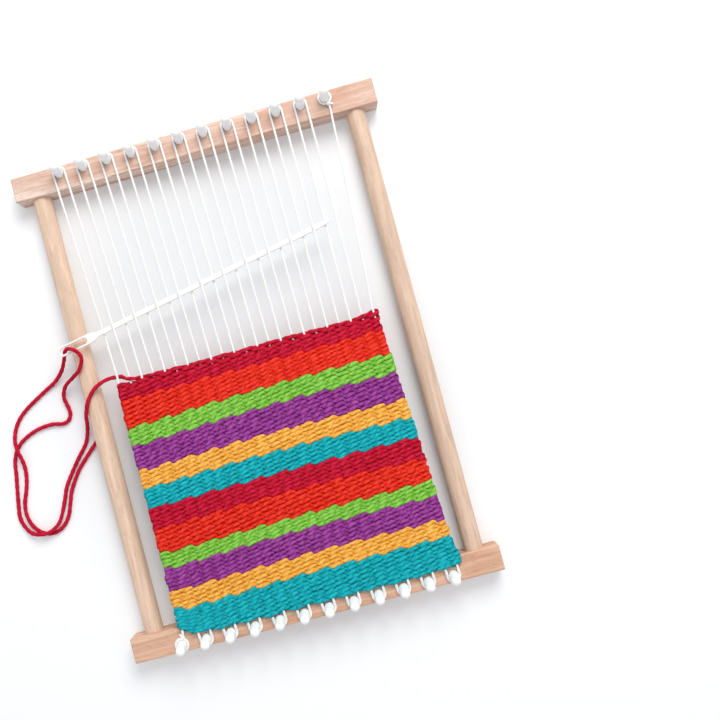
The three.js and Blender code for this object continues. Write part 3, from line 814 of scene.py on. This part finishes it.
# The rows' ends rise along both sides, and more at three corners, each over its own length
LEFT_RISE = 0.9
RIGHT_RISE = 0.6
TOP_RIGHT_RISE, TOP_RIGHT_LENGTH = 3.0, 10.0
LOW_LEFT_RISE, LOW_LEFT_LENGTH = 5.1, 30.0
LOW_RIGHT_RISE, LOW_RIGHT_LENGTH = 1.2, 10.0


def chance_bends(y):
    """Sag, lean and arch by chance of a row at y. The cloth's upper and lower edges have none."""
    edges = CLOTH_TOP - np.concatenate([[0.0], np.cumsum([height for _, height, _ in STRIPES])])
    bends = np.random.default_rng(CHANCE_SEED).normal(0, CHANCE_BENDS, (len(edges), len(CHANCE_BENDS)))
    bends[[0, -1]] = 0
    return [np.interp(-y, -edges, column) for column in bends.T]


def stray(x, y):
    """How far a row at y strays upwards at x."""
    below, above = CLOTH_TOP - y, y - CLOTH_BOTTOM
    come_in = np.clip(below / BENDS_COME_IN, 0, 1)
    go_out = np.clip(above / STRIPES[-1][1], 0, 1)
    more_sag, more_lean, more_arch = chance_bends(y)
    sag = SAG_TOP + (SAG_LOW - SAG_TOP) * below / (CLOTH_TOP - CLOTH_BOTTOM) + more_sag
    across = x / ((CLOTH_RIGHT - CLOTH_LEFT) / 2)
    bend = (LEAN * come_in + more_lean) * across + (ARCH * come_in + more_arch) * (1 - across**2) - sag
    left = LEFT_RISE + LOW_LEFT_RISE * np.exp(-above / LOW_LEFT_LENGTH)
    right = RIGHT_RISE + TOP_RIGHT_RISE * np.exp(-below / TOP_RIGHT_LENGTH)
    right += LOW_RIGHT_RISE * np.exp(-above / LOW_RIGHT_LENGTH)
    left_end = np.exp(-np.maximum(x - CLOTH_LEFT, 0) / CORNER_REACH)
    right_end = np.exp(-np.maximum(CLOTH_RIGHT - x, 0) / CORNER_REACH)
    return bend * go_out + left * left_end + right * right_end


def row_places():
    """Y of each row. The last-woven ones are further apart."""
    places = []
    top = CLOTH_TOP
    for _, height, rows in STRIPES:
        if not places:
            step = (FIRST_ROWS[-1] - (top - height)) / (rows - len(FIRST_ROWS) + 0.5)
            places += FIRST_ROWS + [FIRST_ROWS[-1] - step * (k + 1) for k in range(rows - len(FIRST_ROWS))]
        else:
            places += [top - height * (k + 0.5) / rows for k in range(rows)]
        top -= height
    return np.array(places)


def wobble(places, seed, size):
    """Chance deviations along a row, smooth between points half a strand apart."""
    rng = np.random.default_rng(seed)
    knots = np.arange(0, STRANDS + 2, 0.5)
    return np.interp(places, knots, rng.normal(0, size, len(knots)))


def row_line(row, y, pitch):
    """Centre line, half-width along Y and half-height of one row, from the first strand to the last."""
    places = np.linspace(1, STRANDS, (STRANDS - 1) * 10 + 1)
    wave = np.tanh(WAVE_SQUARENESS * np.cos(math.pi * (places + row))) / math.tanh(WAVE_SQUARENESS)
    flat = wave**2
    loose = max(0.0, 1.0 - row / LOOSE_ROWS)
    x = place_x(places, np.full_like(places, y))
    slant = SLANT * (1 - loose) * (1 + wobble(places, 7000 + row, 0.3))
    line_y = y + slant * np.sin(2 * math.pi * (places + row)) + wobble(places, 1000 + row, 0.16 + 0.1 * loose)
    line_y += stray(x, y)
    if row == 0:
        line_y += FIRST_ROW_RISE * np.exp(-(places - 1) / FIRST_ROW_FADE)
    z = CLOTH_Z + BEAD_RISE * wave + wobble(places, 3000 + row, 0.06)
    half_width = pitch * (0.82 + 0.4 * flat) * (1 + wobble(places, 5000 + row, 0.1))
    half_width = half_width * (1 - loose) + LOOSE_HALF_WIDTH * loose * (1 + wobble(places, 5000 + row, 0.05))
    half_height = GAP_HEIGHT + (BEAD_HEIGHT - GAP_HEIGHT) * flat
    return np.stack([x, line_y, z], axis=1), half_width, half_height


def turn_line(strand, side, row, start, end, half0, half1, part=(0.0, 1.0)):
    """The yarn's turn round the edge strand, from row to the next one, or a part of it."""
    sign = math.cos(math.pi * (strand + row))
    reach = TURN_REACH + random.Random(row).uniform(*TURN_CHANCE) + (FIRST_TURN_MORE if row == 0 else 0.0)
    if side > 0:
        reach += LOW_RIGHT_TURN_MORE * min(1.0, max(0.0, (row - ROWS + 13) / 7))
    theta = np.linspace(part[0], part[1], 12 if part == (0.0, 1.0) else 7)[1:-1] * math.pi
    y = start + (end - start) * (1 - np.cos(theta)) / 2
    x = strand_x(strand, y) + side * reach * np.sin(theta)
    z = CLOTH_Z + sign * BEAD_RISE * np.cos(theta)
    width = np.interp(theta, [0, math.pi], [half0, half1]) * (1 - 0.1 * np.sin(theta))
    return np.stack([x, y, z], axis=1), width, np.full(len(theta), BEAD_HEIGHT * 1.05)


def build_stripe(name, first, count, rows, material):
    """One stripe as one unbroken yarn, laid to and fro. rows holds every row of the cloth."""
    pieces = []

    def add_turn(row, part):
        """The turn between a row and the next one. Even rows are laid rightwards."""
        strand, side, end = (STRANDS, 1, -1) if row % 2 == 0 else (1, -1, 0)
        (line, width, _), (after, next_width, _) = rows[row], rows[row + 1]
        pieces.append(
            turn_line(strand, side, row, line[end][1], after[end][1], width[end], next_width[end], part)
        )

    if first > 0:
        add_turn(first - 1, (0.45, 1.0))
    for row in range(first, first + count):
        line, width, height = rows[row]
        if row == 0:
            line, width, height = line[LEAD_COVERS:], width[LEAD_COVERS:], height[LEAD_COVERS:]
            pieces.append((np.array(LEAD), np.array(LEAD_HALF_WIDTH), np.array(LEAD_HALF_HEIGHT)))
        if row % 2 == 1:
            line, width, height = line[::-1], width[::-1], height[::-1]
        pieces.append((line, width, height))
        if row + 1 < first + count:
            add_turn(row, (0.0, 1.0))
        elif row + 1 < ROWS:
            add_turn(row, (0.0, 0.55))
    line, width, height = (np.concatenate(parts) for parts in zip(*pieces))
    width[0] *= 0.6
    width[-1] *= 0.6
    height[0] *= 0.6
    height[-1] *= 0.6
    tangent = np.gradient(line, axis=0)
    tangent /= np.linalg.norm(tangent, axis=1)[:, None]
    side = np.array([0.0, 1.0, 0.0]) - tangent[:, 1:2] * tangent
    side /= np.linalg.norm(side, axis=1)[:, None]
    over = np.cross(tangent, side)
    phase = random.Random(first).random() * 6
    points, faces, looks = twisted_tube(line, width, height, WOVEN_MAKE, side, over, phase, 1.0)
    # A bead gets a painted highlight along its crown, more where it lies further from the cloth's middle plane, and
    # painted shade down its sides, and has a random tone of its own
    outward = np.abs(np.sin(np.linspace(0, 2 * math.pi, WOVEN_MAKE[0], endpoint=False)))
    raised = np.clip(np.abs(line[:, 2] - CLOTH_Z) / BEAD_RISE, 0, 1)
    tones = np.random.default_rng(first + 50).normal(0, 0.06, len(line))
    tones = np.convolve(tones, np.ones(9) / 3, mode="same")
    crown = outward[None, :] ** 1.4 * (0.72 + 0.28 * raised[:, None]) + tones[:, None]
    looks["crown"] = ("FLOAT", np.clip(crown, 0, 1).ravel())
    return add_mesh(name, points * MM, faces, material, attributes=looks)


def build_cloth(yarns):
    ys = row_places()
    pitches = -np.gradient(ys)
    rows = [row_line(row, ys[row], pitches[row]) for row in range(ROWS)]
    first = 0
    for name, _, count in STRIPES:
        colour = name.split("_")[0]
        stripe = build_stripe("stripe_" + name, first, count, rows, yarns[colour])
        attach(stripe, "loom")
        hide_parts("weft_" + name)
        first += count
    core = build_core(ys)
    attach(core, "loom")


def core_material(ys, top, bottom):
    """The stripes' colours darkened as painted deep shade, with a darker random grain. The mesh carries down, a
    place's share of the way down the cloth.
    """
    made = Shader("cloth_inside", 0.9, specular=0.1)
    share = made.attribute("down").outputs["Fac"]
    stops = []
    row = 0
    for name, _, count in STRIPES:
        y = ys[row] + 0.8 if row > 0 else top
        stops.append(((top - y) / (top - bottom), deepened(linear(COLOURS[name.split("_")[0]]))))
        row += count
    tone = made.ramp(share, stops, "CONSTANT")
    grain = made.noise(made.coordinates((1, 1, 1)), 900, 3)
    shade = made.mix(1.0, tone, (0.5, 0.5, 0.5, 1), "MULTIPLY")
    tone = made.mix(made.ramp(grain, [(0.3, 0.0), (0.7, 0.5)]), tone, shade)
    made.bump(grain, 0.0002)
    return made.finish(tone)


def build_core(ys):
    """The closed inside of the cloth, a sheet of painted shade seen only down between the rows."""
    top, bottom = ys[3], ys[-1] + 0.3
    material = core_material(ys, top, bottom)
    columns = np.linspace(1, STRANDS, (STRANDS - 1) * 2 + 1)
    upper = []
    for y in np.linspace(top, bottom, CORE_LINES):
        x = place_x(columns, np.full_like(columns, y))
        x[0] -= CORE_MARGIN
        x[-1] += CORE_MARGIN
        upper.append(np.stack([x, y + stray(x, y), np.full_like(x, CLOTH_Z + CORE_HALF)], axis=1))
    upper = np.array(upper)
    lower = upper - np.array([0, 0, 2 * CORE_HALF])
    rows, cols = upper.shape[:2]
    points = np.concatenate([upper.reshape(-1, 3), lower.reshape(-1, 3)])
    faces = []
    size = rows * cols
    for i in range(rows - 1):
        for j in range(cols - 1):
            a, b, c, d = i * cols + j, i * cols + j + 1, (i + 1) * cols + j + 1, (i + 1) * cols + j
            faces.append((a, d, c, b))
            faces.append((a + size, b + size, c + size, d + size))
    rim = list(range(cols)) + [i * cols + cols - 1 for i in range(1, rows)]
    rim += [(rows - 1) * cols + j for j in range(cols - 2, -1, -1)] + [i * cols for i in range(rows - 2, 0, -1)]
    for a, b in zip(rim, rim[1:] + rim[:1]):
        faces.append((a, b, b + size, a + size))
    down = np.tile(np.repeat(np.linspace(0, 1, rows), cols), 2)
    return add_mesh("cloth_inside", points * MM, np.array(faces), material, False, {"down": ("FLOAT", down)})


# Needle, measured from its eye end

EYE_RADIUS = 4.05
EYE_LENGTH = 28.5
SHAFT_RADIUS = 2.05
SHAFT_START = 37.5
TIP_LENGTH = 14.0
SLOT_START = 2.4
SLOT_LENGTH = 23.6
SLOT_RADIUS = 2.5
NEEDLE_EDGE = 0.55
ARC_STEPS = 12
EYE_STEPS = 8
SHAFT_STEPS = 29
SLOT_STEPS = 16
WELD_WITHIN = 0.00001


def needle_outline():
    """Round end, the eye's side, the shoulder, the shaft and the tip, then the same mirrored."""
    top = []
    for step in range(ARC_STEPS + 1):
        a = math.pi - step / ARC_STEPS * math.pi / 2
        top.append((EYE_RADIUS + EYE_RADIUS * math.cos(a), EYE_RADIUS * math.sin(a)))
    for step in range(1, EYE_STEPS + 1):
        top.append((EYE_RADIUS + (EYE_LENGTH - EYE_RADIUS) * step / EYE_STEPS, EYE_RADIUS))
    for step in range(1, ARC_STEPS + 1):
        t = step / ARC_STEPS
        narrowing = (SHAFT_RADIUS - EYE_RADIUS) * (3 * t * t - 2 * t**3)
        top.append((EYE_LENGTH + (SHAFT_START - EYE_LENGTH) * t, EYE_RADIUS + narrowing))
    for step in range(1, SHAFT_STEPS + 1):
        top.append((SHAFT_START + (NEEDLE_LENGTH - TIP_LENGTH - SHAFT_START) * step / SHAFT_STEPS, SHAFT_RADIUS))
    for step in range(1, ARC_STEPS + 1):
        t = step / ARC_STEPS * math.pi / 2
        top.append((NEEDLE_LENGTH - TIP_LENGTH + TIP_LENGTH * math.sin(t), SHAFT_RADIUS * math.cos(t)))
    return top + [(x, -y) for x, y in reversed(top[1:-1])]


def eye_slot():
    slot = []
    for middle, start in (
        (SLOT_START + SLOT_RADIUS, math.pi / 2),
        (SLOT_START + SLOT_LENGTH - SLOT_RADIUS, -math.pi / 2),
    ):
        for step in range(SLOT_STEPS + 1):
            a = start + step / SLOT_STEPS * math.pi
            slot.append((middle + SLOT_RADIUS * math.cos(a), SLOT_RADIUS * math.sin(a)))
    return slot


def build_needle():
    """The flat outline with its eye, thickened and rounded off all round."""
    ivory = plastic_material("ivory_plastic", linear(NEEDLE_COLOUR), 0.4, 0.4, 0.97)
    data = bpy.data.curves.new("needle_outline", "CURVE")
    data.dimensions = "2D"
    data.fill_mode = "BOTH"
    for ring in (needle_outline(), eye_slot()):
        line = data.splines.new("POLY")
        line.points.add(len(ring) - 1)
        for point, (x, y) in zip(line.points, ring):
            point.co = (x * MM, y * MM, 0, 1)
        line.use_cyclic_u = True
    data.extrude = (NEEDLE_THICK / 2 - NEEDLE_EDGE) * MM
    data.bevel_depth = NEEDLE_EDGE * MM
    data.bevel_resolution = 3
    data.offset = -NEEDLE_EDGE * MM
    flat = bpy.data.objects.new("needle_outline", data)
    bpy.context.scene.collection.objects.link(flat)
    turn = Matrix.Rotation(NEEDLE_ANGLE, 4, "Z")
    place = Matrix.Translation(Vector((EYE_END[0], EYE_END[1], NEEDLE_Z)) * MM)
    bpy.context.view_layer.update()
    mesh = bpy.data.meshes.new_from_object(flat.evaluated_get(bpy.context.evaluated_depsgraph_get()))
    mesh.transform(place @ turn)
    bpy.data.objects.remove(flat)
    mesh.materials.clear()
    mesh.materials.append(ivory)
    for face in mesh.polygons:
        face.use_smooth = abs(face.normal.z) < 0.98
    needle = bpy.data.objects.new("needle_rounded", mesh)
    bpy.context.scene.collection.objects.link(needle)
    bpy.context.view_layer.objects.active = needle
    weld = needle.modifiers.new("weld", "WELD")
    weld.merge_threshold = WELD_WITHIN
    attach(needle, "needle")
    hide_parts("needle")


# Free yarn

YARN_LEAST_Z = 0.03


def yarn_tube(name, route, material, seed):
    """A twisted tube along route, and its centre line, both in metres. The seed is also the twist's phase."""
    path = spline(np.array(route) / MM, 0.7)
    rng = np.random.default_rng(seed)
    count = len(path)
    knots = np.linspace(0, count - 1, count // 8)
    radius = YARN_DIAMETER / 2 * (0.97 + np.interp(np.arange(count), knots, rng.normal(0, 0.03, len(knots))))
    radius[0] *= 0.8
    radius[-1] *= 0.8
    points, faces, looks = twisted_tube(path, radius, radius, FREE_YARN_MAKE, *frames(path), seed, 1.0)
    points[:, 2] = np.maximum(points[:, 2], YARN_LEAST_Z)
    yarn = add_mesh(name, points * MM, faces, material, attributes=looks)
    return yarn, path * MM


def build_free_yarn(crimson):
    drawn, line = yarn_tube("yarn_to_needle", YARN_ROUTE, crimson, 1)
    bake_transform(drawn)
    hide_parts("needle_yarn")
    loose, line = yarn_tube("yarn_loose_end", TAIL_ROUTE, crimson, 2)
    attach(loose, "needle")
    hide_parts("yarn_tail")


build_camera()
build_stage()
YARNS = {name: yarn_material("yarn_" + name, linear(code)) for name, code in COLOURS.items()}
build_free_yarn(YARNS["crimson"])
build_wood()
build_pegs()
build_warp()
build_cloth(YARNS)
build_needle()

bpy.context.view_layer.update()
